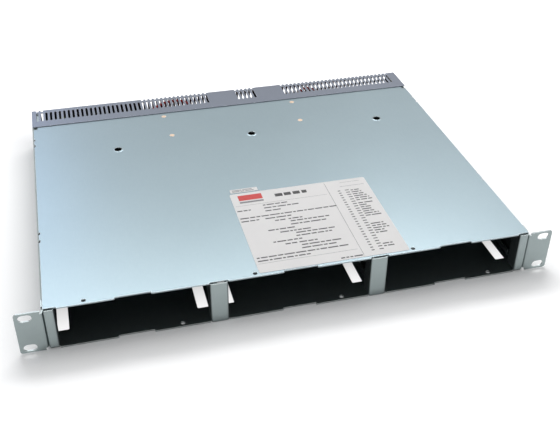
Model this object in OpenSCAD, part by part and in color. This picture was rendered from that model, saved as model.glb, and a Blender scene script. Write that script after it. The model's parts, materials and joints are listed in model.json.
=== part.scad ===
// Rack power shelf, one unit high, for three slide-in rectifier modules.
// X runs across the rack, Y from the front faces of the ears to the rear, Z up.

/* [Chassis] */
// Width over the side walls
body_w = 438.4; // [360:0.1:445]
// Height from the underside of the tray to the top of the top plate
body_h = 43.6; // [43:0.1:60]
// Depth from the front faces of the ears to the outside of the rear wall
body_d = 350.8; // [290:0.1:450]
// Sheet thickness of the tray and its ears
tray_t = 1.2; // [1:0.1:1.5]
// Sheet thickness of the top plate
top_t = 1.2; // [0.8:0.1:1.5]
// Sheet thickness of the rear cover
cover_t = 0.8; // [0.6:0.1:1.2]
// Sheet thickness of the partitions and the bulkhead
inner_t = 1.0; // [0.8:0.1:1.5]
// Inside radius of the sheet folds
fold_r = 1.0; // [0.5:0.1:1.5]
// Gap between sheets that lie side by side
fit_gap = 0.1; // [0.05:0.05:0.3]

/* [Rack ears] */
// Width over the two ears
rack_w = 482.6; // [482.6:0.1:483.6]
// Height of each ear
ear_h = 42.4; // [40:0.1:43]
// Distance across the rack between slot centres
slot_span = 465.1; // [465:0.1:466]
// Distance between the two slots of one ear
slot_rise = 31.75; // [31.75:0.01:31.75]
// Length of an ear slot
slot_l = 11; // [10:0.1:12]
// Height of an ear slot
slot_h = 6.8; // [6.5:0.1:7.2]
// Corner radius of the ears
ear_corner = 2.5; // [1:0.1:4]
// Height of the relief notches at both ends of an ear's fold
relief_h = 2.4; // [1:0.1:4]

/* [Side flanges] */
// Width of the flanges folded inward along the tops of the side walls
flange_w = 9.5; // [7:0.1:12]
// Distance from the front to the start of the flanges
flange_y = 16; // [15.5:0.5:30]
// Distance from the front to the first pair of hook slots on each side
hook_front = 102; // [60:1:140]
// Distance from the rear wall to the second pair of hook slots on each side
hook_back = 74; // [60:1:100]
// Distance between the two slots of a pair
hook_gap = 12; // [8:0.5:20]
// Length of a hook slot
hook_l = 3.4; // [2:0.1:5]

/* [Posts and dividers] */
// Width of the post beside each ear
post_w = 8.8; // [7:0.1:12]
// Width of the divider between two bays
divider_w = 16; // [12:0.1:20]
// Depth of the side returns of posts and dividers
return_d = 14; // [8:0.5:18]
// Height of a post's foot above the tray floor
post_lift = 1.3; // [0.5:0.1:2]
// Width of the lugs that hold a divider to the floor and the top plate
lug_w = 5; // [4:0.1:6]

/* [Front edges and floor] */
// Distance of the floor and top plate edges behind the ears' front faces
edge_back = 0.5; // [0:0.1:2]
// Width of the finger notch in the middle of each bay
notch_w = 30.5; // [20:0.5:40]
// Depth of the finger notch
notch_d = 2; // [1:0.1:4]
// Distance from the front to the floor windows
window_y = 20.5; // [16:0.5:40]
// Length of the floor windows
window_l = 90; // [40:1:140]
// Width of the floor windows
window_w = 9.8; // [6:0.1:12]
// How far the floor windows reach past the bay on each side
window_out = 1.2; // [0:0.1:2]
// Diameter of the small hole near each front edge
front_hole_d = 4; // [3:0.1:5]
// Distance of the small holes behind the front plane
front_hole_y = 4.6; // [4.5:0.1:8]
// Distance of the small holes from the middle of the bay
front_hole_x = 40; // [20:0.5:45]

/* [Top plate] */
// Distance from the plate's side edges to the outside of the side walls
plate_inset = 1.7; // [1.4:0.1:2.2]
// How far the top plate runs under the rear cover
top_lap = 6.5; // [4:0.5:10]
// Diameter of the large hole over each bay
latch_hole_d = 8; // [6:0.1:10]
// Diameter of the raised rim of the large hole
latch_rim_d = 11.2; // [10.5:0.1:12]
// Height of the raised rim of the large hole
latch_rim_h = 0.35; // [0.1:0.05:0.5]
// Distance of the large holes from the rear wall
latch_back = 108.5; // [80:0.5:140]
// Distance of the large holes from the middle of the bay
latch_x = 12.5; // [0:0.5:20]
// Length of the corner notches in front of the rear cover
corner_notch_l = 6.5; // [3:0.5:8]
// Width of the corner notches
corner_notch_w = 4; // [2:0.5:6]

/* [Rear cover] */
// Depth of the cover's top strip
strip_d = 39.3; // [36:0.1:50]
// Pitch of the vent slots
vent_pitch = 4.95; // [4.5:0.05:6]
// Width of a vent slot
vent_w = 2.6; // [2:0.1:3]
// Length of a top vent slot
vent_l = 19.5; // [12:0.5:22]
// Distance from the rear face to the top vent slots
vent_back = 7.3; // [5:0.1:12]
// Depth of the notch that the rear wall slots cut into the top
comb_d = 4.3; // [3:0.1:4.5]
// Height of the lower ends of the rear wall slots
wall_vent_z = 23; // [22:0.5:30]
// Distance from a side wall's outside to the first vent slot
vent_side = 6.4; // [6:0.1:15]
// Middle of the small centre group of vent slots
vent_mid = 27; // [20:0.5:32]
// Number of slots in the centre group
vent_mid_n = 5; // [3:1:7]
// Distance between the last slot of one group and the first of the next
vent_land = 36.6; // [30:0.1:40]
// Depth of the cover's side tabs
tab_d = 12; // [8:0.5:16]

/* [Partitions and bulkhead] */
// Width over the two walls of a partition
partition_w = 7.2; // [6:0.1:10]
// Distance from the front to the partition's nose
nose_y = 24; // [18:0.5:30]
// Height of the nose above the floor
nose_h = 6.8; // [5:0.1:10]
// Length of the nose before the wall rises
nose_l = 16; // [8:0.5:30]
// Distance from the side wall's inside to a side guide's flange
guide_off = 3.2; // [2.5:0.1:6]
// Distance from the rear wall's outside to the bulkhead's front
bulkhead_back = 54.8; // [50:0.1:70]
// Depth of the bulkhead's flanges
bulkhead_flange = 12; // [8:0.5:14]

/* [Connectors] */
// Width of a module connector
plug_w = 72; // [60:0.5:80]
// Height of a module connector
plug_h = 13; // [10:0.5:16]
// How far a module connector stands in front of the bulkhead
plug_front = 14; // [8:0.5:20]
// Gap between the bulkhead and the backplane boards
board_gap = 2; // [1:0.5:3]
// Thickness of every circuit board
board_t = 1.6; // [1:0.1:2]
// Pitch of the mains inlets
inlet_pitch = 35; // [33:0.5:40]
// Distance from the side wall's outside to the first inlet's middle
inlet_side = 33.7; // [30:0.1:40]
// Middle of the signal connector
signal_x = 27; // [20:0.5:32]
// Width of an output terminal block
block_w = 49.4; // [46:0.1:52]
// Height of an output terminal block
block_h = 14.4; // [13:0.1:16]
// Clearance round a part that passes through sheet metal
port_gap = 0.3; // [0.1:0.05:0.5]

/* [Bus bars] */
// Thickness of a bus bar
bar_t = 3; // [2:0.5:4]
// Height of the positive bar
bar_pos_h = 14; // [10:0.5:15]
// Height of the negative bar
bar_neg_h = 10; // [8:0.5:10]
// Thickness of the copper links to the output terminals
link_t = 2; // [1:0.5:2]
// Width of the copper links
link_w = 12; // [8:0.5:14]

/* [Fasteners and wires] */
// Diameter of a rivet head
rivet_d = 5; // [4:0.1:6]
// Diameter of a side screw's countersunk head
screw_head_d = 6; // [5:0.1:6.5]
// Diameter of a side screw's shank
screw_d = 3; // [2.5:0.1:3.2]
// Diameter of the mains wires
mains_d = 2.6; // [2:0.1:3]
// Diameter of the earth and sense wires
sense_d = 3.6; // [2:0.1:4]

/* [Labels] */
// Width of the rating label
label_w = 138; // [100:1:150]
// Depth of the rating label
label_d = 125; // [80:1:130]
// Thickness of the labels
label_t = 0.2; // [0.1:0.05:0.3]

/* [Hidden] */

$fn = 48;
half_w = body_w / 2;
inner_x = half_w - tray_t;
floor_z = tray_t;
roof_z = body_h - top_t;
clear_h = roof_z - floor_z;
mid_z = body_h / 2;
rear_in = body_d - cover_t;
cut = 1;

// Bays: the widths share what posts and dividers leave
bay_w = (2 * (inner_x - fit_gap) - 2 * post_w - 2 * divider_w) / 3;
bay_pitch = bay_w + divider_w;
bays = [-bay_pitch, 0, bay_pitch];
divider_x = bay_pitch / 2;
set_back = tray_t + 0.6;

// Rear layout
bulkhead_y = body_d - bulkhead_back;
board_y = bulkhead_y + inner_t + board_gap;
board_w = bay_w - 24;
board_h = clear_h - 7;
plug_z = mid_z;
inlet_x = [for (i = [0:2]) -half_w + inlet_side + i * inlet_pitch];
inlet_z = 20;
inlet_zone = [inlet_x[0] - 19, inlet_x[2] + 19];
signal_w = 53.1;
signal_z = 12;
free_right = half_w - 12 - (signal_x + signal_w / 2);
terminal_x = [
    (inlet_zone[1] + signal_x - signal_w / 2) / 2,
    signal_x + signal_w / 2 + free_right / 4,
    signal_x + signal_w / 2 + free_right * 3 / 4
];
terminal_z = 12;
pole_x = 12;

// Bus bars
bar_pos_y = board_y + board_t + 7.4;
bar_pos_z = 21;
bar_neg_y = bar_pos_y + bar_t + 6;
bar_neg_z = 3.6;
post_d = 9;
post_off = 22;
link_pos_z = terminal_z + 4.4;
link_neg_z = terminal_z - 6;
pad_y = body_d;
pad_w = 17;
pad_h = 11.5;

// Heads and plates that stand behind the rear wall
washer_t = 1;
head_h = 3.4;
rear_reach = link_t + washer_t + head_h;
total_d = body_d + rear_reach;

// Vent slots grow outwards from the lands beside the centre group
mid_first = vent_mid - (vent_mid_n - 1) / 2 * vent_pitch;
mid_last = vent_mid + (vent_mid_n - 1) / 2 * vent_pitch;
left_n = floor((mid_first - vent_land + half_w - vent_side) / vent_pitch + 0.01);
right_n = floor((half_w - vent_side - 3 - mid_last - vent_land) / vent_pitch + 0.01);
vent_x = concat(
    [for (i = [left_n:-1:0]) mid_first - vent_land - i * vent_pitch],
    [for (i = [0:vent_mid_n - 1]) mid_first + i * vent_pitch],
    [for (i = [0:right_n]) mid_last + vent_land + i * vent_pitch]
);

steel = [0.72, 0.76, 0.78];
zinc = [0.62, 0.66, 0.68];
black = [0.06, 0.06, 0.07];
green = [0.05, 0.3, 0.14];
copper = [0.72, 0.42, 0.24];
brass = [0.78, 0.62, 0.35];

// ---------- shared shapes ----------

// Moves the model so that the middle of its footprint is the origin
module placed() {
    translate([0, -total_d / 2, 0]) children();
}

// Quarter ring of sheet for a fold, open towards the origin
module fold_2d(t, r = fold_r) {
    intersection() {
        difference() {
            circle(r + t);
            circle(r);
        }
        square(r + t);
    }
}

// Rectangle centred on the origin with round corners
module round_rect(w, h, r) {
    square([w - 2 * r, h], center = true);
    square([w, h - 2 * r], center = true);
    for (x = [-1, 1], y = [-1, 1])
        translate([x * (w / 2 - r), y * (h / 2 - r)]) circle(r);
}

// Slot along X with round ends
module slot_2d(l, w) {
    square([l - w, w], center = true);
    for (s = [-1, 1])
        translate([s * (l - w) / 2, 0]) circle(w / 2);
}

// Extrudes an X-Z outline along Y, from y0 to y1
module along_y(y0, y1) {
    translate([0, y1, 0]) rotate([90, 0, 0]) linear_extrude(y1 - y0) children();
}

// Extrudes a Y-Z outline along X, from x0 to x1
module along_x(x0, x1) {
    translate([x0, 0, 0]) rotate([90, 0, 90]) linear_extrude(x1 - x0) children();
}

// Box between two corners
module block(a, b) {
    translate(a) cube(b - a);
}

// Round bar along Y
module rod_y(d, y0, y1, x = 0, z = 0) {
    translate([x, y0, z]) rotate([-90, 0, 0]) cylinder(d = d, h = y1 - y0);
}

// ---------- folded body ----------

// Cross-section of the tray: floor, folds and side walls
module tray_section() {
    flat = half_w - tray_t - fold_r;
    translate([-flat, 0]) square([2 * flat, tray_t]);
    for (m = [0, 1]) mirror([m, 0]) {
        translate([flat, tray_t + fold_r]) mirror([0, 1]) fold_2d(tray_t);
        translate([inner_x, tray_t + fold_r]) square([tray_t, wall_top - tray_t - fold_r]);
    }
}

wall_top = roof_z - tray_t - fold_r;

// Cross-section of the flanges folded inward at the tops of the side walls
module flange_section() {
    fold_x = inner_x - fold_r;
    for (m = [0, 1]) mirror([m, 0]) {
        translate([fold_x, wall_top]) fold_2d(tray_t);
        translate([half_w - flange_w, roof_z - tray_t]) square([fold_x - half_w + flange_w, tray_t]);
    }
}

hook_ys = [for (y = [hook_front, body_d - hook_back], s = [-1, 1]) y + s * hook_gap / 2];

// Slots in the shoulders of the side walls for the hooks of the top plate
module hook_slots() {
    for (m = [0, 1], y = hook_ys) mirror([m, 0, 0])
        block([half_w - plate_inset - 1.2, y - hook_l / 2, wall_top + 0.4], [inner_x + 0.5, y + hook_l / 2, body_h]);
}

// One rack ear with its fold, on the right-hand side
module ear() {
    ear_z = mid_z - ear_h / 2;
    ear_x = half_w + fold_r;
    ear_w = rack_w / 2 - ear_x;
    difference() {
        translate([0, tray_t, mid_z]) rotate([90, 0, 0]) linear_extrude(tray_t) difference() {
            intersection() {
                translate([ear_x + ear_w / 2 - ear_corner, 0])
                    round_rect(ear_w + 2 * ear_corner, ear_h, ear_corner);
                translate([ear_x, -ear_h]) square([ear_w + cut, 2 * ear_h]);
            }
            for (s = [-1, 1])
                translate([slot_span / 2, s * slot_rise / 2]) slot_2d(slot_l, slot_h);
        }
    }
    translate([0, 0, ear_z + relief_h]) linear_extrude(ear_h - 2 * relief_h)
        translate([ear_x, tray_t + fold_r]) rotate(180) fold_2d(tray_t);
}

// Side wall between the ear's fold and the folded floor
module ear_root() {
    root_y = tray_t + fold_r;
    ear_z = mid_z - ear_h / 2;
    block([inner_x, root_y, ear_z + relief_h], [half_w, root_y + 4, ear_z + ear_h - relief_h]);
}

module floor_cuts() {
    for (b = bays) {
        for (s = [-1, 1])
            translate([b + s * (bay_w / 2 + window_out - window_w / 2), window_y + window_l / 2])
                round_rect(window_w, window_l, 1);
        translate([b - notch_w / 2, -cut]) square([notch_w, edge_back + notch_d + cut]);
        translate([b + front_hole_x, front_hole_y]) circle(d = front_hole_d);
    }
    translate([-half_w, -cut]) square([body_w, edge_back + cut]);
    for (s = [-1, 1]) {
        translate([s * divider_x - divider_w / 2 - 0.4, -cut])
            square([divider_w + 0.8, set_back + cut]);
        translate([s * (inner_x - post_w / 2) - post_w / 2 - 0.6, -cut])
            square([post_w + 1.2, set_back + cut]);
    }
}

module side_screw_holes(d) {
    for (p = side_screws_at)
        translate([-half_w - cut, p[0], p[1]]) rotate([0, 90, 0]) cylinder(d = d, h = body_w + 2 * cut);
}

tab_screw_y = rear_in - 7;
side_screws_at = [[tab_screw_y, 11], [tab_screw_y, body_h - 12]];

module base_tray() {
    root_end = tray_t + fold_r + 4;
    color(steel) difference() {
        union() {
            along_y(root_end, rear_in) tray_section();
            along_y(flange_y, rear_in) flange_section();
            for (m = [0, 1]) mirror([m, 0, 0])
                block([inner_x, root_end, wall_top], [half_w, flange_y - 1, roof_z]);
            translate([-inner_x + fold_r, 0, 0]) cube([2 * (inner_x - fold_r), root_end, tray_t]);
            for (m = [0, 1]) mirror([m, 0, 0]) {
                ear();
                ear_root();
            }
        }
        translate([0, 0, -cut]) linear_extrude(tray_t + 2 * cut) floor_cuts();
        hook_slots();
        side_screw_holes(screw_d + 0.2);
        for (p = side_screws_at, m = [0, 1]) mirror([m, 0, 0])
            translate([inner_x, p[0], p[1]]) rotate([0, 90, 0])
                cylinder(d1 = screw_d + 0.2, d2 = screw_head_d + 0.2, h = tray_t);
    }
}

top_edge_x = half_w - plate_inset;
top_end = body_d - strip_d + top_lap;

module top_cuts() {
    for (b = bays) {
        translate([b - notch_w / 2, -cut]) square([notch_w, edge_back + notch_d + cut]);
        translate([b - front_hole_x, front_hole_y]) circle(d = front_hole_d);
        translate([b + latch_x, body_d - latch_back]) circle(d = latch_hole_d);
    }
    for (s = [-1, 1]) {
        translate([s * divider_x - divider_w / 2 - 0.4, -cut])
            square([divider_w + 0.8, set_back + cut]);
        translate([s * (inner_x - post_w / 2) - post_w / 2 - 2.2, -cut])
            square([post_w + 4.4, set_back + cut]);
        translate([s * (top_edge_x - corner_notch_w / 2), notch_rear_y - corner_notch_l / 2])
            square([corner_notch_w, corner_notch_l], center = true);
        for (y = hook_ys) translate([s * top_edge_x, y]) square([2.4, hook_l], center = true);
    }
    for (p = top_rivets_at) translate(p) circle(d = rivet_d);
}

notch_rear_y = body_d - strip_d + 1;
top_rivets_at = [
    for (s = [-1, 1]) each [
        [s * divider_x, bulkhead_y - 37],
        [s * (divider_x + 2.5), bulkhead_y + 7.5]
    ]
];

module top_plate() {
    rim_in = latch_hole_d + 1.2;
    color(steel) difference() {
        union() {
            block([-top_edge_x, edge_back, roof_z], [top_edge_x, top_end, body_h]);
            for (b = bays) translate([b + latch_x, body_d - latch_back, body_h])
                cylinder(d1 = latch_rim_d, d2 = rim_in, h = latch_rim_h);
        }
        translate([0, 0, roof_z - cut]) linear_extrude(top_t + 2 * cut) top_cuts();
    }
}

// ---------- rear cover ----------

function in_inlet_zone(x) = x > inlet_zone[0] && x < inlet_zone[1];

module top_vents() {
    for (x = vent_x)
        translate([x, body_d - vent_back - vent_l / 2]) rotate(90) slot_2d(vent_l, vent_w);
}

module wall_vents() {
    for (x = vent_x) if (!in_inlet_zone(x))
        block([x - vent_w / 2, body_d - comb_d, wall_vent_z], [x + vent_w / 2, body_d + cut, body_h + cover_t + cut]);
}

module wall_ports() {
    for (x = inlet_x) translate([x, inlet_z]) round_rect(27 + 2 * port_gap, 20 + 2 * port_gap, 1);
    for (x = terminal_x) translate([x, terminal_z])
        square([block_w + 2 * port_gap, block_h + 2 * port_gap], center = true);
    translate([signal_x, signal_z]) d_outline(port_gap);
    for (s = [-1, 1]) translate([signal_x + s * jack_x, signal_z]) circle(d = 3.2);
    translate([inlet_x[0], stud_z]) circle(d = stud_d + 0.2);
}

module rear_cover() {
    roof = body_h + cover_t;
    cover_x = half_w - 0.4;
    tab_x = inner_x - fit_gap;
    color(zinc) difference() {
        union() {
            block([-cover_x, body_d - strip_d, body_h], [cover_x, rear_in - fold_r, roof]);
            along_x(-cover_x, cover_x)
                translate([rear_in - fold_r, body_h - fold_r]) fold_2d(cover_t);
            block([-cover_x, rear_in, 0.4], [cover_x, body_d, body_h - fold_r]);
            for (m = [0, 1]) mirror([m, 0, 0])
                block([tab_x - cover_t, rear_in - tab_d, 5], [tab_x, rear_in, body_h - 4]);
        }
        translate([0, 0, body_h - cut]) linear_extrude(cover_t + 2 * cut) top_vents();
        wall_vents();
        along_y(rear_in - cut, body_d + cut) wall_ports();
        side_screw_holes(screw_d);
    }
}

// ---------- posts, dividers, partitions, bulkhead ----------

// Plan of a folded channel: face along X at the front, returns towards the rear
module channel_plan(w, depth, t, r) {
    translate([-w / 2 + t + r, 0]) square([w - 2 * (t + r), t]);
    for (m = [0, 1]) mirror([m, 0]) {
        translate([w / 2 - t - r, t + r]) mirror([0, 1]) fold_2d(t, r);
        translate([w / 2 - t, t + r]) square([t, depth - t - r]);
    }
}

module post() {
    z0 = floor_z + post_lift;
    translate([0, 0, z0]) linear_extrude(roof_z - 0.2 - z0)
        translate([inner_x - fit_gap - post_w / 2, 0]) channel_plan(post_w, return_d, tray_t, fold_r);
}

module post_right() {
    color(steel) post();
}

module post_left() {
    color(steel) mirror([1, 0, 0]) post();
}

// Divider with two lugs on the floor and two under the top plate
module divider() {
    face_z = 0.3;
    lug_x = divider_w / 2 - tray_t;
    difference() {
        union() {
            translate([0, 0, face_z]) linear_extrude(roof_z - 0.1 - face_z)
                channel_plan(divider_w, return_d, tray_t, fold_r);
            for (m = [0, 1], z = [floor_z, roof_z - 0.1 - tray_t]) mirror([m, 0, 0])
                block([lug_x - lug_w, set_back + 2, z], [lug_x + tray_t / 2, return_d, z + tray_t]);
        }
        block([-divider_w, set_back - 0.2, -cut], [divider_w, return_d + cut, floor_z]);
    }
}

module divider_right() {
    color(steel) translate([divider_x, 0, 0]) divider();
}

module divider_left() {
    color(steel) translate([-divider_x, 0, 0]) divider();
}

// Partition: a channel open at the bottom, with a low nose at the front
module partition() {
    z_top = roof_z;
    y_end = bulkhead_y - 0.3;
    rise_y = nose_y + nose_l;
    flat = partition_w / 2 - inner_t - fold_r;
    for (m = [0, 1]) mirror([m, 0, 0]) {
        along_x(partition_w / 2 - inner_t, partition_w / 2) polygon([
            [nose_y, floor_z], [nose_y, floor_z + nose_h], [rise_y, floor_z + nose_h],
            [rise_y + 12, z_top - inner_t - fold_r], [y_end, z_top - inner_t - fold_r], [y_end, floor_z]
        ]);
        translate([0, 0, z_top - inner_t - fold_r]) along_y(rise_y + 12, y_end)
            translate([flat, 0]) fold_2d(inner_t);
    }
    block([-flat, rise_y + 12, z_top - inner_t], [flat, y_end, z_top]);
}

module partition_right() {
    color(steel) translate([divider_x, 0, 0]) partition();
}

module partition_left() {
    color(steel) translate([-divider_x, 0, 0]) partition();
}

// Angle on the floor that guides a module along the side wall
module side_guide() {
    x1 = inner_x - fit_gap - fold_r;
    x0 = inner_x - fit_gap - guide_off - inner_t;
    y1 = bulkhead_y - 0.3;
    lip = inner_t + fold_r;
    block([x0, nose_y, floor_z + lip], [x0 + inner_t, y1, floor_z + nose_h]);
    translate([0, 0, floor_z + lip]) along_y(nose_y, y1)
        translate([x0 + lip, 0]) rotate(180) fold_2d(inner_t);
    block([x0 + lip, nose_y, floor_z], [x1, y1, floor_z + inner_t]);
}

module side_guide_right() {
    color(steel) side_guide();
}

module side_guide_left() {
    color(steel) mirror([1, 0, 0]) side_guide();
}

module bulkhead_ports() {
    for (b = bays) {
        translate([b, plug_z]) square([plug_w + 2 * port_gap, plug_h + 2 * port_gap], center = true);
        for (s = [-1, 1], i = [0:2])
            translate([b + s * (plug_w / 2 + 7 + i * 6), mid_z]) rotate(90) slot_2d(clear_h - 14, 3);
    }
}

module bulkhead() {
    x1 = inner_x - fit_gap - fold_r;
    lip = inner_t + fold_r;
    notch_x = half_w - flange_w - 0.3;
    color(zinc) difference() {
        translate([0, bulkhead_y, 0]) union() {
            along_x(-x1, x1) {
                translate([0, floor_z + lip]) square([inner_t, clear_h - 2 * lip]);
                translate([lip, floor_z]) square([bulkhead_flange - lip, inner_t]);
                translate([lip, roof_z - inner_t]) square([bulkhead_flange - lip, inner_t]);
                translate([lip, floor_z + lip]) rotate(180) fold_2d(inner_t);
                translate([lip, roof_z - lip]) rotate(90) fold_2d(inner_t);
            }
        }
        along_y(bulkhead_y - cut, bulkhead_y + inner_t + 0.5) bulkhead_ports();
        for (m = [0, 1]) mirror([m, 0, 0]) block(
            [notch_x, bulkhead_y - cut, roof_z - tray_t - 0.3],
            [half_w, bulkhead_y + bulkhead_flange + cut, body_h]);
    }
}

// ---------- module connectors and backplane ----------

module plug_cavities() {
    for (i = [0:7]) translate([-24 + i * 4.6, 0]) square([1.8, 8], center = true);
    for (i = [0:5], j = [-1:1]) translate([14 + i * 2.4, j * 2.4]) square(1.3, center = true);
    for (s = [-1, 1]) translate([s * (plug_w / 2 - 5), 0]) circle(d = 5);
}

module module_connector(b) {
    y0 = bulkhead_y - plug_front;
    color(black) translate([b, 0, plug_z]) difference() {
        block([-plug_w / 2, y0, -plug_h / 2], [plug_w / 2, board_y, plug_h / 2]);
        along_y(y0 - cut, y0 + 10) plug_cavities();
    }
}

module module_contacts() {
    y0 = bulkhead_y - plug_front;
    color(brass) for (b = bays, i = [0:7])
        block([b - 24 + i * 4.6 - 0.5, y0 + 2, plug_z - 3.5], [b - 24 + i * 4.6 + 0.5, y0 + 10, plug_z + 3.5]);
}

module board(b) {
    color(green) translate([b, 0, mid_z])
        block([-board_w / 2, board_y, -board_h / 2], [board_w / 2, board_y + board_t, board_h / 2]);
}

module board_spacers() {
    color(brass) for (b = bays, sx = [-1, 1], sz = [-1, 1])
        rod_y(5, bulkhead_y + inner_t, board_y, b + sx * (board_w / 2 - 4), mid_z + sz * (board_h / 2 - 3));
}

bar_x0 = -bay_pitch - post_off - 9;
bar_x1 = max(terminal_x[2] + pole_x + 8, bay_pitch + post_off + 9);

module bus_bar_positive() {
    color(copper) block(
        [-bay_pitch + post_off - 9, bar_pos_y, bar_pos_z],
        [bar_x1, bar_pos_y + bar_t, bar_pos_z + bar_pos_h]);
}

module bus_bar_negative() {
    color(copper) block([bar_x0, bar_neg_y, bar_neg_z], [bar_x1, bar_neg_y + bar_t, bar_neg_z + bar_neg_h]);
}

module bus_posts() {
    color(copper) for (b = bays) {
        rod_y(post_d, board_y + board_t, bar_pos_y, b + post_off, bar_pos_z + bar_pos_h / 2);
        rod_y(post_d, board_y + board_t, bar_neg_y, b - post_off, bar_neg_z + bar_neg_h / 2);
    }
}

// Insulating stands that carry both bars above the floor
module bus_stands() {
    foot = 2;
    color(black) for (x = [inlet_zone[1] + 8.5, -8, bay_pitch - 3]) translate([x, 0, 0]) {
        block([-6, bar_pos_y - foot, floor_z + inner_t], [6, bar_neg_y + bar_t + foot, bar_neg_z]);
        block([-6, bar_pos_y - 1, bar_neg_z], [6, bar_pos_y + bar_t + 1, bar_pos_z]);
    }
}

// ---------- output terminals ----------

// Insulating block with three barriers and two slots for the copper links
module terminal_block(x) {
    w = block_w;
    color(black) translate([x, 0, terminal_z]) difference() {
        union() {
            block([-w / 2, body_d - 10, -block_h / 2], [w / 2, body_d, block_h / 2]);
            block([-w / 2 - 3, rear_in - 2, -block_h / 2 - 1.6], [w / 2 + 3, rear_in, block_h / 2 + 1.6]);
            for (s = [-1, 0, 1]) block(
                [s * (w / 2 - 1) - 1, body_d, -block_h / 2],
                [s * (w / 2 - 1) + 1, body_d + 4.5, block_h / 2]);
        }
        for (p = [[-pole_x, link_pos_z], [pole_x, link_neg_z]])
            block([p[0] - link_w / 2 - 0.2, 0, p[1] - terminal_z - 0.2],
                [p[0] + link_w / 2 + 0.2, body_d + cut, p[1] - terminal_z + link_t + 0.2]);
        for (s = [-1, 1]) rod_y(4.6, body_d - 8, body_d + cut, s * pole_x);
    }
}

// Copper link in side view: foot on the bar, run to the rear, pad on the block
module link_profile(foot_y, foot_z0, foot_z1, run_z, pad_z0) {
    translate([foot_y, foot_z0]) square([link_t, foot_z1 - foot_z0]);
    translate([foot_y, run_z]) square([pad_y + link_t - foot_y, link_t]);
    translate([pad_y, pad_z0]) square([link_t, pad_h]);
}

module link(x, foot_y, foot_z0, foot_z1, run_z, pad_z0) {
    difference() {
        translate([x, 0, 0]) union() {
            along_x(-link_w / 2, link_w / 2) link_profile(foot_y, foot_z0, foot_z1, run_z, pad_z0);
            block([-pad_w / 2, pad_y, pad_z0], [pad_w / 2, pad_y + link_t, pad_z0 + pad_h]);
        }
        rod_y(5.2, pad_y - 0.1, pad_y + link_t + cut, x, terminal_z);
    }
}

module output_links_positive() {
    color(copper) for (x = terminal_x)
        link(x - pole_x, bar_pos_y + bar_t, link_pos_z, bar_pos_z + bar_pos_h, link_pos_z, link_pos_z + link_t - pad_h);
}

module output_links_negative() {
    color(copper) for (x = terminal_x)
        link(x + pole_x, bar_neg_y + bar_t, link_neg_z, bar_neg_z + bar_neg_h, link_neg_z, link_neg_z);
}

module terminal_screws() {
    y0 = pad_y + link_t;
    color(zinc) for (x = terminal_x, s = [-1, 1]) {
        rod_y(10, y0, y0 + washer_t, x + s * pole_x, terminal_z);
        rod_y(8.6, y0 + washer_t, y0 + washer_t + head_h, x + s * pole_x, terminal_z);
        rod_y(4.4, pad_y - 7, y0 + 0.5, x + s * pole_x, terminal_z);
    }
}

// ---------- mains inlets ----------

// Mouth of the inlet: a rectangle with its two upper corners cut off
module inlet_mouth() {
    polygon([[-12, -8.2], [12, -8.2], [12, 3.8], [7.8, 8.2], [-7.8, 8.2], [-12, 3.8]]);
}

// Pin and solder tab positions: [x, z, front end of the pin]
inlet_pins = [[0, 4, 17.5], [-7, 0, 15], [7, 0, 15]];
inlet_back = 24;
inlet_lip = 2.2;

module inlet_blade_shapes() {
    for (p = inlet_pins) translate([p[0], 0, p[1]]) {
        block([-1, body_d - inlet_back + 2, -2], [1, body_d - 17 + p[2], 2]);
        block([-2.4, body_d - inlet_back - 8, -0.4], [2.4, body_d - inlet_back + 2, 0.4]);
    }
}

module ac_inlet(x) {
    color(black) translate([x, 0, inlet_z]) difference() {
        union() {
            block([-13.5, body_d - inlet_back, -10], [13.5, body_d, 10]);
            along_y(body_d, body_d + inlet_lip) round_rect(31, 24.4, 2);
        }
        along_y(body_d - 17, body_d + inlet_lip + cut) inlet_mouth();
        inlet_blade_shapes();
    }
}

module inlet_blades() {
    color(brass) for (x = inlet_x) translate([x, 0, inlet_z]) inlet_blade_shapes();
}

// ---------- signal connector ----------

jack_x = 23.52;

// D-shaped outline of a 25-way connector, grown by g
module d_outline(g) {
    polygon([[-19.2 - g, 4 + g], [19.2 + g, 4 + g], [17.8 + g, -4 - g], [-17.8 - g, -4 - g]]);
}

module signal_connector_shell() {
    color(zinc) translate([signal_x, 0, signal_z]) difference() {
        union() {
            along_y(body_d, body_d + 0.8) round_rect(signal_w, 12.5, 1.5);
            along_y(body_d - 0.5, body_d + 6) d_outline(0);
        }
        along_y(body_d - cut, body_d + 6 + cut) d_outline(-0.4);
        for (s = [-1, 1]) rod_y(3.1, body_d - cut, body_d + cut, s * jack_x);
    }
}

module signal_connector_insert() {
    color(black) translate([signal_x, 0, signal_z]) difference() {
        union() {
            block([-21, body_d - 10, -6 + 0.05], [21, body_d - 0.8, 6]);
            along_y(body_d - 0.8, body_d + 5.6) d_outline(-0.45);
        }
        for (i = [0:12]) rod_y(1.1, body_d, body_d + 6, (i - 6) * 2.77, 1.42);
        for (i = [0:11]) rod_y(1.1, body_d, body_d + 6, (i - 5.5) * 2.77, -1.42);
    }
}

module signal_jack_posts() {
    color(zinc) translate([signal_x, 0, signal_z]) for (s = [-1, 1]) {
        translate([s * jack_x, body_d + 0.8, 0]) rotate([-90, 0, 0]) cylinder(d = 5.4, h = 4.8, $fn = 6);
        rod_y(2.9, body_d - 6, body_d + 1, s * jack_x);
    }
}

module signal_board() {
    z1 = signal_z - 6;
    color(green) block([signal_x - 27, body_d - 30, z1 - board_t], [signal_x + 27, body_d - 4, z1]);
    color(brass) for (s = [-1, 1], y = [body_d - 27, body_d - 12])
        translate([signal_x + s * 23.5, y, floor_z]) cylinder(d = 4.5, h = z1 - board_t - floor_z);
}

// ---------- wires ----------

function unit(v) = v / norm(v);

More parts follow.
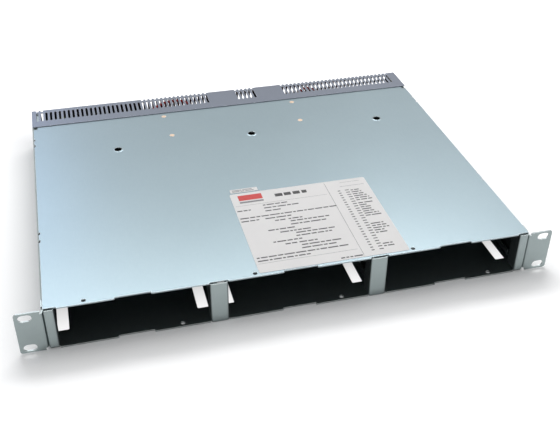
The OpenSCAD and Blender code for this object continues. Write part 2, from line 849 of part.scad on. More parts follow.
// Point between p1 and p2 of a smooth curve through four points
function curve(p0, p1, p2, p3, u) =
    0.5 * (2 * p1 + (p2 - p0) * u + (2 * p0 - 5 * p1 + 4 * p2 - p3) * u * u
        + (3 * p1 - p0 - 3 * p2 + p3) * u * u * u);

// Smooth path through hand-picked points
function smooth(p, steps) = let (n = len(p) - 1) [
    for (i = [0:n - 1], k = [0:steps - 1])
        curve(p[max(i - 1, 0)], p[i], p[i + 1], p[min(i + 2, n)], k / steps),
    p[n]
];

function tangents(p) = let (n = len(p) - 1)
    [for (i = [0:n]) unit(p[min(i + 1, n)] - p[max(i - 1, 0)])];

// Sideways direction carried along the path without twist
function side_vectors(t) = [
    for (i = 0, s = unit(cross(t[0], [0.3, 0.2, 1])); i < len(t);
        i = i + 1, s = i < len(t) ? unit(s - (s * t[i]) * t[i]) : s) s
];

// Round tube along a path
module wire(points, d, steps = 3, sides = 8) {
    p = smooth(points, steps);
    t = tangents(p);
    s = side_vectors(t);
    n = len(p);
    verts = [
        for (i = [0:n - 1], k = [0:sides - 1])
            let (u = cross(t[i], s[i]), a = 360 * k / sides)
            p[i] + d / 2 * (cos(a) * s[i] + sin(a) * u)
    ];
    walls = [
        for (i = [0:n - 2], k = [0:sides - 1])
            let (a = i * sides + k, b = i * sides + (k + 1) % sides)
            [a, b, b + sides, a + sides]
    ];
    caps = [[for (k = [sides - 1:-1:0]) k], [for (k = [0:sides - 1]) (n - 1) * sides + k]];
    polyhedron(verts, concat(walls, caps));
}

tab_y = body_d - inlet_back - 8.2;
board_end = board_y + board_t + mains_d / 2 + 0.05;
lane_y = board_y + board_t + mains_d / 2 + 0.4;
lane_pitch = mains_d + 0.4;
board_pin_x = -40;

// From an inlet tab to its bay's board: straight, or along the lane behind the boards
module mains_wire(i, side, lane_z) {
    x0 = inlet_x[i] + side * 7;
    x1 = bays[i] + board_pin_x + side * 5;
    y = lane_y + (i - 1) * lane_pitch;
    wire(i == 0 ? [
        [x0, tab_y, inlet_z],
        [x0, tab_y - 8, inlet_z],
        [(x0 + x1) / 2, lane_y + 5, lane_z],
        [x1, lane_y, lane_z]
    ] : [
        [x0, tab_y, inlet_z],
        [x0 + 0.5, tab_y - 6, inlet_z - 0.5],
        [x0 + 6, y + 4, lane_z],
        [x0 + 16, y, lane_z],
        [(x0 + x1) / 2, y, lane_z],
        [x1 - 10, y, lane_z],
        [x1 - 3, board_end + 0.3, lane_z],
        [x1, board_end, lane_z]
    ], mains_d);
}

module line_wires() {
    color("saddlebrown") for (i = [0:2]) mains_wire(i, -1, 15.4);
}

module neutral_wires() {
    color("royalblue") for (i = [0:2]) mains_wire(i, 1, 18.6);
}

stud_d = 4;
stud_z = 37;

// Earth wires: one per bay over the top of the bars, and the bond to the rear wall
module earth_wires() {
    z = inlet_z + 4;
    top_z = roof_z - 4;
    color("yellowgreen") {
        for (i = [1, 2]) {
            x1 = bays[i] - 30;
            y = lane_y + (i - 1) * lane_pitch;
            wire([
                [inlet_x[i], tab_y, z],
                [inlet_x[i], tab_y - 3, z + 5],
                [inlet_x[i] + 4, tab_y - 2, top_z - 1],
                [inlet_x[i] + 14, (tab_y + y) / 2 + 1, top_z],
                [inlet_x[i] + 26, y + 1, top_z],
                [(inlet_x[i] + x1) / 2, y, top_z],
                [x1 - 12, y, top_z],
                [x1 - 3, board_end + 0.4, top_z - 3],
                [x1, board_end, top_z - 9]
            ], mains_d);
        }
        wire([
            [inlet_x[0], tab_y, z],
            [inlet_x[0], tab_y - 6, z + 3],
            [inlet_x[0], tab_y - 5, stud_z - 4],
            [inlet_x[0], tab_y + 4, stud_z + 0.5],
            [inlet_x[0], tab_y + 14, stud_z + 1],
            [inlet_x[0], rear_in - 7.8, stud_z]
        ], sense_d);
    }
}

module earth_stud() {
    color(zinc) {
        rod_y(stud_d, rear_in - 7.5, body_d + 0.5, inlet_x[0], stud_z);
        rod_y(7, body_d, body_d + 2, inlet_x[0], stud_z);
        rod_y(8, rear_in - 3.2, rear_in, inlet_x[0], stud_z);
    }
}

module sense_wires() {
    bx = terminal_x[0] - pole_x;
    cx = terminal_x[2] - pole_x;
    lift = link_pos_z + link_t + sense_d / 2;
    y = body_d - 26;
    board_edge_z = signal_z - 6 + sense_d / 2;
    left_x = max(bx - 28, inlet_x[2] + 17);
    color("firebrick") {
        wire([
            [bx, y, lift], [bx - 12, y, lift + 1.5], [left_x + 3, y + 3, 26],
            [left_x, y + 9, 31.5], [left_x + 7, y + 14, 36.4], [bx - 12, y + 17.5, 39.4],
            [bx - 3, y + 19.5, 40.6], [bx + 7, y + 19.5, 40.5], [bx + 16, y + 17, 38.4],
            [bx + 23, y + 12, 34], [bx + 29, y + 8, 27], [bx + 38, y + 4, 17],
            [signal_x - 22, y + 2, board_edge_z]
        ], sense_d);
        wire([
            [cx, y, lift], [cx - 12, y + 2, lift + 3], [cx - 27, y + 8, 29],
            [cx - 40, y + 14, 35], [cx - 46, y + 17, 37.4], [cx - 53, y + 19, 38.8],
            [cx - 60, y + 17, 37.4], [cx - 66, y + 12, 31.5], [cx - 78, y + 6, 24],
            [signal_x + 34, y + 3, 14], [signal_x + 24, y + 2, board_edge_z]
        ], sense_d);
    }
}

// ---------- fasteners and labels ----------

module top_rivets() {
    color(brass) for (p = top_rivets_at)
        translate([p[0], p[1], roof_z]) cylinder(d = rivet_d, h = top_t + 0.15);
}

module side_screws() {
    color(zinc) for (p = side_screws_at, m = [0, 1]) mirror([m, 0, 0])
        translate([inner_x, p[0], p[1]]) rotate([0, 90, 0]) {
            cylinder(d1 = screw_d, d2 = screw_head_d, h = tray_t);
            translate([0, 0, -3]) cylinder(d = screw_d, h = 3.1);
        }
}

label_x = 32.5;
label_y = 3.5;

module rating_label() {
    color("white") translate([label_x, label_y + label_d / 2, body_h])
        linear_extrude(label_t) round_rect(label_w, label_d, 2);
}

module strip_label() {
    color("white") translate([label_x - label_w / 2 + 15.5, label_y + label_d + 5, body_h])
        linear_extrude(label_t) round_rect(27.5, 6, 0.8);
}

// ---------- assembly ----------

placed() base_tray();
placed() top_plate();
placed() rear_cover();
placed() post_left();
placed() post_right();
placed() divider_left();
placed() divider_right();
placed() partition_left();
placed() partition_right();
placed() side_guide_left();
placed() side_guide_right();
placed() bulkhead();
placed() module_connector(bays[0]);  // module_connector_1
placed() module_connector(bays[1]);  // module_connector_2
placed() module_connector(bays[2]);  // module_connector_3
placed() module_contacts();
placed() board(bays[0]);  // backplane_board_1
placed() board(bays[1]);  // backplane_board_2
placed() board(bays[2]);  // backplane_board_3
placed() board_spacers();
placed() bus_bar_positive();
placed() bus_bar_negative();
placed() bus_posts();
placed() bus_stands();
placed() terminal_block(terminal_x[0]);  // terminal_block_1
placed() terminal_block(terminal_x[1]);  // terminal_block_2
placed() terminal_block(terminal_x[2]);  // terminal_block_3
placed() output_links_positive();
placed() output_links_negative();
placed() terminal_screws();
placed() ac_inlet(inlet_x[0]);  // ac_inlet_1
placed() ac_inlet(inlet_x[1]);  // ac_inlet_2
placed() ac_inlet(inlet_x[2]);  // ac_inlet_3
placed() inlet_blades();
placed() signal_connector_shell();
placed() signal_connector_insert();
placed() signal_jack_posts();
placed() signal_board();
placed() line_wires();
placed() neutral_wires();
placed() earth_wires();
placed() sense_wires();
placed() earth_stud();
placed() top_rivets();
placed() side_screws();
placed() rating_label();
placed() strip_label();
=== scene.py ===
import json
import math

import bmesh
import bpy
from mathutils import Matrix, Vector


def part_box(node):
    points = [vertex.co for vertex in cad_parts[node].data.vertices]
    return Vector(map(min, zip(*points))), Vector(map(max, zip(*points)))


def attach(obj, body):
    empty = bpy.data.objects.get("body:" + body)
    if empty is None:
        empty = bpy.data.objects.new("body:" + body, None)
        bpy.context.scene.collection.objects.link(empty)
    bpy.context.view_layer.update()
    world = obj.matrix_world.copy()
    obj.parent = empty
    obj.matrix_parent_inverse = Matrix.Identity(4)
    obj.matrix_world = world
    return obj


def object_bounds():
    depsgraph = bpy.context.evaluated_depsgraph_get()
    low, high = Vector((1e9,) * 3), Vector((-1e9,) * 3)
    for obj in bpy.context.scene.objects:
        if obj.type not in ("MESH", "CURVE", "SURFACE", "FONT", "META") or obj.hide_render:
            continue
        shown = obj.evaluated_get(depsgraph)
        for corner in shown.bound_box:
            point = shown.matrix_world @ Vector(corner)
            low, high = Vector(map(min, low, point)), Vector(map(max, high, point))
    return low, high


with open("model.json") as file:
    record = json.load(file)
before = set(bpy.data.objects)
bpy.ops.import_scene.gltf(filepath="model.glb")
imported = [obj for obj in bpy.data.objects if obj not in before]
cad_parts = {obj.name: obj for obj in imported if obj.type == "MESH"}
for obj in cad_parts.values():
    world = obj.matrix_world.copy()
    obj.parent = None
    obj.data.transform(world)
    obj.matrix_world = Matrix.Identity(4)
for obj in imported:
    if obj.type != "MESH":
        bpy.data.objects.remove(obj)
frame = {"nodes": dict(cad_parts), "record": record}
cad_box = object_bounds()
nodes = frame["nodes"]
MM = 0.001

# The front plane of the shelf, from the tray's own box
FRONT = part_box("base_tray")[0][1]


def at(x, y, z):
    """A point given in mm from the front plane, in the row frame."""
    return Vector((x * MM, FRONT + y * MM, z * MM))


# ---------- camera ----------

cam_data = bpy.data.cameras.new("camera")
cam_data.sensor_width = 36.0
cam_data.lens = 54.3016
cam_data.clip_start = 0.02
cam = bpy.data.objects.new("camera", cam_data)
bpy.context.scene.collection.objects.link(cam)
look = Vector((0.21439088, 0.79394087, -0.56894151)).normalized()
right = Vector((0.96699856, -0.25462022, 0.00907348)).normalized()
up = right.cross(look).normalized()
turn = Matrix((right, up, -look)).transposed().to_4x4()
cam.matrix_world = Matrix.Translation(at(-167.372, -546.191, 498.023)) @ turn
bpy.context.scene.camera = cam


# ---------- node helpers ----------

def lin(r, g, b):
    """sRGB 0-255 to a linear colour."""
    out = []
    for v in (r, g, b):
        v = v / 255.0
        out.append(v / 12.92 if v <= 0.04045 else ((v + 0.055) / 1.055) ** 2.4)
    return (*out, 1.0)


class Nodes:
    """Short calls for a material's node tree."""

    def __init__(self, name):
        self.mat = bpy.data.materials.new(name)
        self.mat.use_nodes = True
        self.tree = self.mat.node_tree
        self.tree.nodes.clear()
        self.out = self.add("ShaderNodeOutputMaterial")

    def add(self, kind, **values):
        n = self.tree.nodes.new(kind)
        for k, v in values.items():
            setattr(n, k, v)
        return n

    def put(self, socket, v):
        """Links an output to a socket, or sets the socket's value."""
        if hasattr(v, "is_output"):
            self.link(v, socket)
        else:
            socket.default_value = v

    def link(self, a, b):
        self.tree.links.new(a, b)

    def coords(self, scale=(1, 1, 1)):
        c = self.add("ShaderNodeTexCoord")
        m = self.add("ShaderNodeMapping")
        m.inputs["Scale"].default_value = scale
        self.link(c.outputs["Object"], m.inputs["Vector"])
        return m.outputs["Vector"]

    def noise(self, scale, detail=3.0, rough=0.55, stretch=(1, 1, 1)):
        n = self.add("ShaderNodeTexNoise")
        n.inputs["Scale"].default_value = scale
        n.inputs["Detail"].default_value = detail
        n.inputs["Roughness"].default_value = rough
        self.link(self.coords(stretch), n.inputs["Vector"])
        return n.outputs["Fac"]

    def span(self, value, lo, hi, a=0.3, b=0.7):
        """Maps a to b onto lo to hi, held at both ends."""
        m = self.add("ShaderNodeMapRange")
        m.inputs["From Min"].default_value = a
        m.inputs["From Max"].default_value = b
        m.inputs["To Min"].default_value = lo
        m.inputs["To Max"].default_value = hi
        self.link(value, m.inputs["Value"])
        return m.outputs["Result"]

    def mix(self, factor, a, b):
        m = self.add("ShaderNodeMix", data_type="RGBA")
        self.put(m.inputs[0], factor)
        self.put(m.inputs[6], a)
        self.put(m.inputs[7], b)
        return m.outputs[2]

    def bump(self, height, strength, distance, normal=None):
        b = self.add("ShaderNodeBump")
        b.inputs["Strength"].default_value = strength
        b.inputs["Distance"].default_value = distance
        self.link(height, b.inputs["Height"])
        if normal is not None:
            self.link(normal, b.inputs["Normal"])
        return b.outputs["Normal"]

    def rounded(self, radius):
        b = self.add("ShaderNodeBevel", samples=4)
        b.inputs["Radius"].default_value = radius
        return b.outputs["Normal"]

    def edges(self, radius, reach=0.25):
        """1 on edges and tight bends, 0 on flat faces."""
        dot = self.add("ShaderNodeVectorMath", operation="DOT_PRODUCT")
        self.link(self.rounded(radius), dot.inputs[0])
        self.link(self.add("ShaderNodeNewGeometry").outputs["True Normal"], dot.inputs[1])
        return self.span(dot.outputs["Value"], 1.0, 0.0, 1.0 - reach, 0.995)

    def math(self, operation, a, b):
        m = self.add("ShaderNodeMath", operation=operation)
        self.put(m.inputs[0], a)
        self.put(m.inputs[1], b)
        return m.outputs[0]

    def shader(self, color, rough, metallic, normal):
        p = self.add("ShaderNodeBsdfPrincipled")
        self.put(p.inputs["Base Color"], color)
        self.put(p.inputs["Roughness"], rough)
        p.inputs["Metallic"].default_value = metallic
        self.link(normal, p.inputs["Normal"])
        self.link(p.outputs["BSDF"], self.out.inputs["Surface"])


HIGHLIGHT_WIDTH = 0.0006      # how far the painted highlight on edges and bends reaches on each face, in metres
EDGE_ROUNDING = 0.00035  # radius that softens the shading of sharp edges


def sheet_metal(name, base, dark, rough, metallic, edge=None, grain=(1, 1, 1)):
    """Rolled, plated sheet: faint mottling, rolling grain and a painted highlight on edges and bends."""
    n = Nodes(name)
    cloud = n.noise(9.0, 3.0)
    mottle = n.noise(260.0, 2.0)
    lines = n.noise(1400.0, 2.0, 0.5, grain)
    color = n.mix(n.span(cloud, 0.0, 0.3), base, dark)
    color = n.mix(n.span(mottle, 0.0, 0.12), color, dark)
    color = n.mix(n.span(lines, 0.0, 0.1), color, dark)
    # Painted highlight: edges and bends are mixed towards a lighter colour
    color = n.mix(n.edges(HIGHLIGHT_WIDTH), color, edge or base)
    roughness = n.span(lines, rough - 0.02, rough + 0.03)
    normal = n.bump(lines, 0.03, 0.00003, n.rounded(EDGE_ROUNDING))
    n.shader(color, roughness, metallic, normal)
    return n.mat


def moulded(name, color, dark, rough, fine=1800.0, depth=0.00003):
    """Moulded plastic with a fine grained surface."""
    n = Nodes(name)
    grain = n.noise(fine, 2.0)
    tone = n.noise(40.0, 3.0)
    n.shader(n.mix(n.span(tone, 0.0, 0.5), color, dark), n.span(grain, rough - 0.05, rough + 0.06),
             0.0, n.bump(grain, 0.25, depth))
    return n.mat


def striped(name, color, stripe, rough):
    """Insulation with a second colour running along it in bands."""
    n = Nodes(name)
    wave = n.add("ShaderNodeTexWave", bands_direction="Z")
    wave.inputs["Scale"].default_value = 150.0
    wave.inputs["Distortion"].default_value = 0.6
    n.link(n.coords(), wave.inputs["Vector"])
    grain = n.noise(1800.0, 2.0)
    n.shader(n.mix(n.span(wave.outputs["Fac"], 0.0, 1.0, 0.62, 0.72), color, stripe),
             n.span(grain, rough - 0.05, rough + 0.06), 0.0, n.bump(grain, 0.25, 0.00003))
    return n.mat


PAINTED_EDGE_HIGHLIGHT = lin(236, 240, 240)  # painted highlight for edges and bends, in place of light caught on rounded edges
ALONG_Y = (1, 0.05, 1)     # rolling grain that runs from front to rear
ALONG_X = (0.05, 1, 1)
# In each sheet_metal call, the colour after the metallic value is a painted highlight for edges and bends
MATS = {
    "sheet_steel": sheet_metal("zinc_coated_sheet", lin(146, 156, 156), lin(132, 142, 143), 0.34, 0.92,
                               PAINTED_EDGE_HIGHLIGHT, ALONG_Y),
    "cover_steel": sheet_metal("plated_cover_sheet", lin(116, 122, 133), lin(104, 110, 122), 0.34, 0.9,
                               lin(200, 204, 214), ALONG_X),
    "plated_steel": sheet_metal("zinc_plated_parts", lin(206, 210, 214), lin(170, 174, 180), 0.28, 0.95, PAINTED_EDGE_HIGHLIGHT),
    "plated_brass": sheet_metal("tinned_contacts", lin(222, 214, 190), lin(190, 176, 146), 0.26, 0.95),
    "copper": sheet_metal("bare_copper", lin(212, 146, 108), lin(176, 110, 78), 0.32, 0.95,
                          lin(236, 180, 146), ALONG_X),
    "brass_rivet": sheet_metal("yellow_rivets", lin(214, 190, 168), lin(186, 158, 132), 0.40, 0.8,
                               lin(238, 224, 208)),
    "black_plastic": moulded("black_mouldings", lin(30, 30, 32), lin(22, 22, 24), 0.48),
    "circuit_board": moulded("circuit_board_mask", lin(22, 84, 46), lin(14, 60, 34), 0.32, 700.0),
    "wire_brown": moulded("brown_insulation", lin(92, 58, 38), lin(74, 44, 28), 0.42),
    "wire_blue": moulded("blue_insulation", lin(40, 84, 158), lin(28, 62, 126), 0.42),
    "wire_green_yellow": striped("green_yellow_insulation", lin(44, 126, 52), lin(222, 206, 40), 0.42),
    "wire_red": moulded("red_insulation", lin(196, 34, 34), lin(160, 22, 24), 0.42),
    "label_paper": moulded("white_label_stock", lin(232, 230, 228), lin(224, 222, 221), 0.46, 500.0, 0.00001),
}
# The top plate is the same sheet, given a bluer copy of its colour as painted light: the bluish light that
# falls on its top
BLUE_LIT_PLATE = sheet_metal("zinc_coated_plate", lin(136, 151, 157), lin(125, 140, 146), 0.33, 0.92, PAINTED_EDGE_HIGHLIGHT, ALONG_Y)
for part in frame["record"]["subparts"]:
    node = nodes[part["node"]]
    node.data.materials.clear()
    node.data.materials.append(BLUE_LIT_PLATE if part["node"] == "top_plate" else MATS[part["material_slot"]])


# ---------- mesh helpers ----------

def make(name, verts, faces, mat):
    """A new piece on the one body, with the slot that its finish comes from."""
    me = bpy.data.meshes.new(name)
    me.from_pydata([tuple(v) for v in verts], [], faces)
    me.update()
    o = bpy.data.objects.new(name, me)
    bpy.context.scene.collection.objects.link(o)
    me.materials.append(mat)
    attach(o, "root")


def slab(verts, faces, x0, y0, x1, y1, z0, z1):
    """Adds a thin box to a mesh under construction, sizes in metres."""
    k = len(verts)
    for z in (z0, z1):
        verts += [(x0, y0, z), (x1, y0, z), (x1, y1, z), (x0, y1, z)]
    faces += [
        (k, k + 3, k + 2, k + 1), (k + 4, k + 5, k + 6, k + 7), (k, k + 1, k + 5, k + 4),
        (k + 1, k + 2, k + 6, k + 5), (k + 2, k + 3, k + 7, k + 6), (k + 3, k, k + 4, k + 7),
    ]


# ---------- screw heads with cross recesses, over the plain CAD heads ----------

def islands(node):
    """Box of each separate solid in a CAD node, as (low corner, high corner)."""
    bm = bmesh.new()
    bm.from_mesh(nodes[node].data)
    bmesh.ops.remove_doubles(bm, verts=bm.verts, dist=0.000002)
    left, out = set(bm.verts), []
    while left:
        stack, points = [left.pop()], []
        while stack:
            v = stack.pop()
            points.append(v.co.copy())
            for e in v.link_edges:
                w = e.other_vert(v)
                if w in left:
                    left.discard(w)
                    stack.append(w)
        out.append((Vector([min(c[i] for c in points) for i in range(3)]),
                    Vector([max(c[i] for c in points) for i in range(3)])))
    bm.free()
    return out


HEAD_SEGMENTS = 48
HEAD_RINGS = 16
HEAD_RISE = 0.0005     # how far a head's middle stands over the CAD head
HEAD_INSET = 0.0002    # how much smaller it is than the CAD head
RECESS_HALF = 0.13     # half width and reach of the recess's arms, as a share of the radius
RECESS_REACH = 0.62


def screw_head(verts, faces, center, axis, radius, height, turn_by):
    """A domed head with a cross recess, rising from center along axis."""
    side = axis.orthogonal().normalized()
    up_way = axis.cross(side)
    k = len(verts)
    rings = [(radius * (i + 0.5) / HEAD_RINGS, True) for i in range(HEAD_RINGS)]
    rings += [(radius, True), (radius, False)]
    cos_t, sin_t = math.cos(turn_by), math.sin(turn_by)
    for r, top in rings:
        for j in range(HEAD_SEGMENTS):
            angle = 2 * math.pi * j / HEAD_SEGMENTS
            u, v = r * math.cos(angle), r * math.sin(angle)
            rise = height * (1.0 - 0.45 * (r / radius) ** 2) if top else -height * 0.2
            if top and min(abs(u), abs(v)) < RECESS_HALF * radius and r < RECESS_REACH * radius:
                rise -= height * 0.5
            verts.append(center + side * (u * cos_t - v * sin_t) + up_way * (u * sin_t + v * cos_t)
                         + axis * rise)
    for i in range(len(rings) - 1):
        for j in range(HEAD_SEGMENTS):
            n = (j + 1) % HEAD_SEGMENTS
            faces.append((k + i * HEAD_SEGMENTS + j, k + (i + 1) * HEAD_SEGMENTS + j,
                          k + (i + 1) * HEAD_SEGMENTS + n, k + i * HEAD_SEGMENTS + n))
    faces.append(tuple(k + j for j in range(HEAD_SEGMENTS)))


for node, name, way in (("side_screws", "side_screw_heads", 0), ("terminal_screws", "terminal_screw_heads", 1)):
    verts, faces = [], []
    for k, (lo, hi) in enumerate(sorted(islands(node), key=lambda b: tuple(b[0]))):
        # Side screws face outward on both sides, terminal screws to the rear
        out_side = hi[way] > 0
        axis = Vector([(1 if out_side else -1) * (i == way) for i in range(3)])
        center = (lo + hi) / 2
        center[way] = hi[way] if out_side else lo[way]
        radius = min(hi[2] - lo[2], hi[1 - way] - lo[1 - way]) / 2 - HEAD_INSET
        screw_head(verts, faces, center, axis, radius, HEAD_RISE, 0.4 + k * 0.9)
    make(name, verts, faces, MATS["plated_steel"])


# ---------- label print: plain bars and fields, no lettering ----------

LABEL_LO, LABEL_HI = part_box("rating_label")
INK_TOP = 0.00002      # the print's top and bottom, from the label's face
INK_BOTTOM = -0.00004


def printed(verts, faces, corner, face_z, rects):
    """Adds flat printed rectangles: (x0, y0, x1, y1) in mm from a label's front left corner."""
    for x0, y0, x1, y1 in rects:
        slab(verts, faces, corner[0] + x0 * MM, corner[1] + y0 * MM, corner[0] + x1 * MM, corner[1] + y1 * MM,
             face_z + INK_BOTTOM, face_z + INK_TOP)


def ink(name, color, rects, dark=None):
    """One colour of print on the rating label."""
    verts, faces = [], []
    printed(verts, faces, LABEL_LO, LABEL_HI[2], rects)
    second = dark or tuple(v * 0.85 for v in color[:3]) + (1.0,)
    make(name, verts, faces, moulded(name + "_ink", color, second, 0.5, 900.0, 0.000005))


def words(y, x0, x1, h=1.7, seed=1):
    """A row of short bars of uneven length, in place of a line of print."""
    out, x, k = [], x0, seed
    while x < x1 - 1.0:
        k = (k * 37 + 11) % 101
        w = min(2.6 + (k % 7) * 1.15, x1 - x)
        out.append((x, y - h / 2, x + w, y + h / 2))
        x += w + 1.1
    return out


ROWS = [
    (100, 27.5, 51.5), (95, 1.5, 14.5), (95, 27.5, 61.5), (90, 27.5, 42.5),
    (82.5, 1.5, 95.5), (77.5, 1.5, 18.5), (77.5, 24.5, 49.5), (72.5, 32.5, 42.5), (72.5, 45.5, 60.5),
    (68.5, 46.5, 84.5), (63.5, 45.5, 79.5), (58.5, 22.5, 49.5), (53.5, 32.5, 44.5), (53.5, 45.5, 61.5),
    (49.5, 46.5, 84.5), (45, 45.5, 79.5), (40, 22.5, 49.5), (35, 32.5, 44.5), (35, 45.5, 62.5),
    (30.5, 46.5, 84.5), (26, 45.5, 79.5), (20.5, 2.5, 87.5), (16, 2.5, 50.5), (3.0, 74.5, 94.5),
]
bars = []
for k, (y, x0, x1) in enumerate(ROWS):
    bars += words(y, x0, x1, 1.6, k + 3)
for k in range(25):
    y = 7 + k * 4.1
    bars += [(104.5, y, 107.3, y + 1.3), (112.0, y, 116.0, y + 1.3)]
for y0, y1 in ((87, 105), (60, 84), (32, 48), (11, 16)):
    y = y0
    while y < y1:
        bars += words(y, 117.5, 133.5 - (y % 3) * 2.5, 1.5, int(y))
        y += 3.6
ink("label_bars", lin(58, 58, 60), bars, lin(78, 78, 80))
ink("label_title_bars", lin(26, 26, 28),
    [(x0, 111.5, x1, 116.5) for x0, x1 in ((43, 50.5), (52, 59), (61, 68), (70, 75))])
ink("label_colour_field", lin(206, 48, 44), [(7, 112, 30.5, 121)])
ink("label_rules", lin(128, 128, 130), [
    (95.4, 2, 95.8, 122.5), (2, 103.3, 93, 103.6), (2, 12.2, 93, 12.5), (7, 107.5, 30.5, 110.2),
    (109, 113, 134, 113.4), (111, 120, 132, 120.4),
])

STRIP_LO, STRIP_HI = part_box("strip_label")
verts, faces = [], []
printed(verts, faces, STRIP_LO, STRIP_HI[2], words(1.9, 2, 25, 1.2, 5) + words(4.1, 2, 22, 1.2, 9))
make("strip_bars", verts, faces, moulded("strip_bars_ink", lin(120, 120, 122), lin(140, 140, 142), 0.5))


# ---------- stage and light ----------

def seen(n):
    """1 on camera and transmission rays, else 0, and 1 on glossy rays, else 0."""
    rays = n.add("ShaderNodeLightPath").outputs
    return n.math("MAXIMUM", rays["Is Camera Ray"], rays["Is Transmission Ray"]), rays["Is Glossy Ray"]


def outside(n):
    """Distance in metres on the floor from the shelf's outline."""
    place = n.add("ShaderNodeSeparateXYZ")
    n.link(n.add("ShaderNodeTexCoord").outputs["Object"], place.inputs[0])
    sides = []
    for axis, half in (("X", cad_box[1][0] - 0.02), ("Y", cad_box[1][1])):
        away = n.math("SUBTRACT", n.math("ABSOLUTE", place.outputs[axis], 0.0), half)
        sides.append(n.math("POWER", n.math("MAXIMUM", away, 0.0), 2.0))
    return n.math("SQRT", n.math("ADD", sides[0], sides[1]), 0.0)


f = Nodes("studio_floor")
paper = f.noise(400.0, 2.0)
diffuse = f.add("ShaderNodeBsdfDiffuse")
f.link(f.mix(f.span(paper, 0.0, 1.0), (0.80, 0.80, 0.80, 1), (0.78, 0.78, 0.78, 1)), diffuse.inputs["Color"])
away = outside(f)
# Painted shade on top of the real cast shadow: the floor's glow is lowest at the shelf's outline and rises over
# 75 mm, so a darker band lies round the shelf
painted_shade_glow = f.span(away, 0.0, 0.55, 0.0, 0.075)
far = f.span(away, 0.0, 0.7, 0.1, 1.4)
shown = f.math("ADD", f.math("ADD", painted_shade_glow, far), 0.14)
direct, gloss = seen(f)
glow = f.add("ShaderNodeEmission")
glow.inputs["Color"].default_value = (1, 1, 1, 1)
open_floor = f.span(away, 0.0, 1.0, 0.0, 0.01)
f.link(f.math("ADD", f.math("MULTIPLY", direct, shown), f.math("MULTIPLY", gloss, f.math("MULTIPLY", open_floor, 0.66))),
       glow.inputs["Strength"])
both = f.add("ShaderNodeAddShader")
f.link(diffuse.outputs[0], both.inputs[0])
f.link(glow.outputs[0], both.inputs[1])
f.link(both.outputs[0], f.out.inputs["Surface"])
me = bpy.data.meshes.new("floor")
S = 12.0
me.from_pydata([(-S, -S, 0), (S, -S, 0), (S, S, 0), (-S, S, 0)], [], [(0, 1, 2, 3)])
floor = bpy.data.objects.new("floor", me)
bpy.context.scene.collection.objects.link(floor)
floor.location = (0, 0, cad_box[0][2] - 0.0002)
me.materials.append(f.mat)

world = bpy.data.worlds.new("studio")
bpy.context.scene.world = world
world.use_nodes = True
wt = world.node_tree
wt.nodes.clear()
w_out = wt.nodes.new("ShaderNodeOutputWorld")
w_plain = wt.nodes.new("ShaderNodeBackground")
w_plain.inputs["Color"].default_value = (0.93, 0.96, 1.0, 1)
w_plain.inputs["Strength"].default_value = 0.2
w_white = wt.nodes.new("ShaderNodeBackground")
w_white.inputs["Color"].default_value = (1, 1, 1, 1)
w_mix = wt.nodes.new("ShaderNodeMixShader")
path = wt.nodes.new("ShaderNodeLightPath")
m1 = wt.nodes.new("ShaderNodeMath")
m1.operation = "MAXIMUM"
m2 = wt.nodes.new("ShaderNodeMath")
m2.operation = "MAXIMUM"
wt.links.new(path.outputs["Is Camera Ray"], m1.inputs[0])
wt.links.new(path.outputs["Is Glossy Ray"], m1.inputs[1])
wt.links.new(m1.outputs[0], m2.inputs[0])
wt.links.new(path.outputs["Is Transmission Ray"], m2.inputs[1])
wt.links.new(m2.outputs[0], w_mix.inputs["Fac"])
wt.links.new(w_plain.outputs[0], w_mix.inputs[1])
wt.links.new(w_white.outputs[0], w_mix.inputs[2])
wt.links.new(w_mix.outputs[0], w_out.inputs["Surface"])


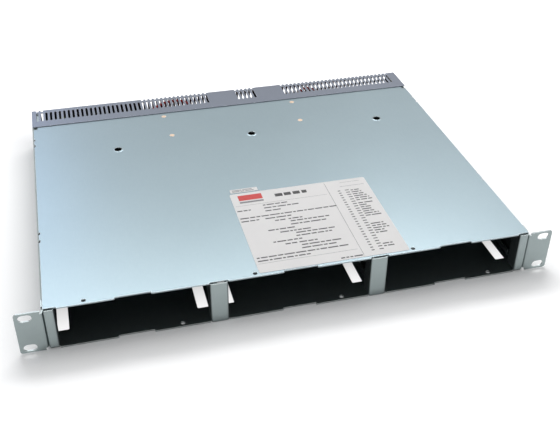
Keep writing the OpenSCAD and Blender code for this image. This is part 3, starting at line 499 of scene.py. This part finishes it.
def lamp(name, size, energy, place, aim, color=(1, 1, 1), glossy=True):
    d = bpy.data.lights.new(name, "AREA")
    d.shape = "RECTANGLE"
    d.size, d.size_y = size
    d.energy = energy
    d.color = color
    o = bpy.data.objects.new(name, d)
    bpy.context.scene.collection.objects.link(o)
    o.location = place
    o.rotation_euler = (Vector(aim) - Vector(place)).to_track_quat("-Z", "Y").to_euler()
    o.visible_glossy = glossy
    return o


LAMPS = [
    ("lamp_back", (1.7, 0.4), 18.5, (0.2, 1.12, 1.68), (1, 1, 1), True),
    ("lamp_back_left", (0.5, 0.5), 1.5, (-0.5, 1.6, 1.1), (0.84, 1.0, 1.36), True),
    ("lamp_back_right", (0.9, 0.3), 2.9, (1.0, 1.2, 1.45), (1, 0.98, 1), True),
    ("lamp_over", (1.2, 1.2), 7.0, (-0.1, 0.15, 1.6), (1, 1, 1), False),
    ("lamp_right", (0.8, 0.8), 2.0, (1.1, -1.0, 0.9), (1, 1, 1), False),
]
for name, size, energy, place, color, glossy in LAMPS:
    lamp(name, size, energy, place, (0, 0, 0), color, glossy)

# Painted light: a patch under the tray floor's windows glows white for camera rays, in place of a lit table
# seen through them
b = Nodes("painted_window_glow")
glow = b.add("ShaderNodeEmission")
glow.inputs["Color"].default_value = (1, 1, 1, 1)
path = b.add("ShaderNodeLightPath")
pos = b.add("ShaderNodeNewGeometry")
sep = b.add("ShaderNodeSeparateXYZ")
b.link(pos.outputs["Position"], sep.inputs[0])
# Painted shade: the glow falls from 0.95 at the front to 0.35 towards the rear
painted_shade_fade = b.span(sep.outputs["Y"], 0.95, 0.35, FRONT + 0.022, FRONT + 0.085)
gain = b.add("ShaderNodeMath", operation="MULTIPLY")
b.link(path.outputs["Is Camera Ray"], gain.inputs[0])
b.link(painted_shade_fade, gain.inputs[1])
b.link(gain.outputs[0], glow.inputs["Strength"])
b.link(glow.outputs[0], b.out.inputs["Surface"])
me = bpy.data.meshes.new("painted_window_glow")
z = cad_box[0][2] - 0.0001
x1, y0, y1 = 0.213, FRONT + 0.016, FRONT + 0.125
me.from_pydata([(-x1, y0, z), (x1, y0, z), (x1, y1, z), (-x1, y1, z)], [], [(0, 1, 2, 3)])
painted_glow_patch = bpy.data.objects.new("painted_window_glow", me)
bpy.context.scene.collection.objects.link(painted_glow_patch)
me.materials.append(b.mat)

bpy.context.scene.view_settings.view_transform = "Standard"
